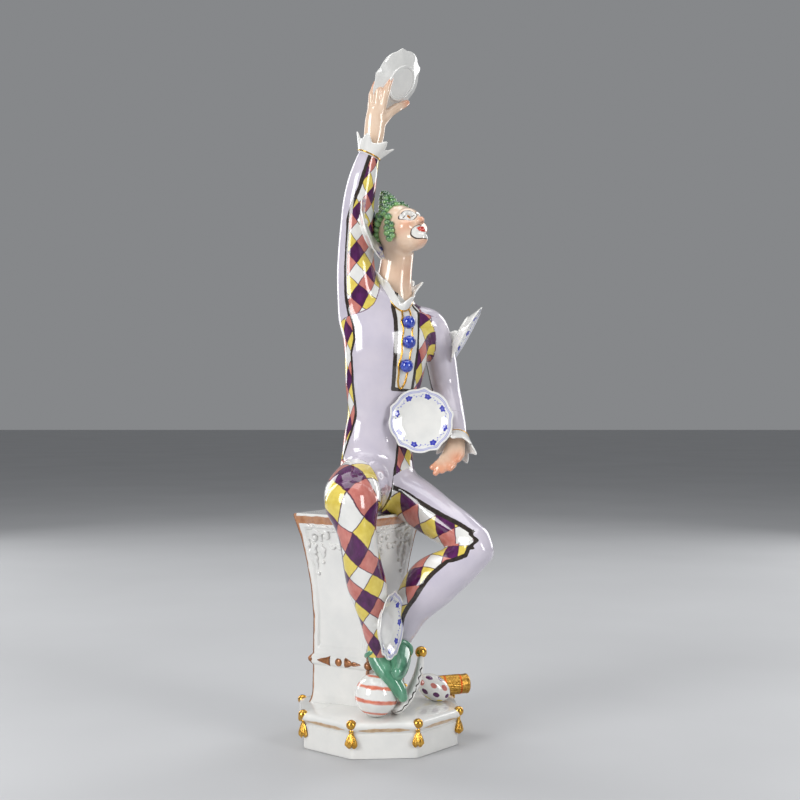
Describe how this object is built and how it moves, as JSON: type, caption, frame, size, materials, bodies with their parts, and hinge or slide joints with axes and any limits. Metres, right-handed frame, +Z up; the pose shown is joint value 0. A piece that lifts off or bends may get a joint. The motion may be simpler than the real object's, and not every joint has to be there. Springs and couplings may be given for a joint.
{
  "type": "porcelain juggler figurine",
  "caption": "Glazed porcelain figure in a harlequin suit, seated on a flared pier over an eight-sided base, balancing small lobed plates.",
  "frame": {"origin": "middle of the flat underside of the eight-sided base", "axes": "+Z up, -Y towards the front of the figure, +X towards the figure's left"},
  "size_m": [0.1227, 0.1185, 0.4284],
  "materials": {
    "glazed_porcelain": "clear glaze over white porcelain",
    "suit_enamel": "lavender suit with purple, rose, yellow and white lozenges under a clear glaze",
    "skin_enamel": "warm flesh tint under a clear glaze",
    "green_enamel": "glossy green enamel",
    "blue_enamel": "glossy cobalt enamel",
    "gilding": "burnished gold"
  },
  "bodies": {
    "root": {"juggler_figurine": "glazed_porcelain"}
  },
  "joints": []
}
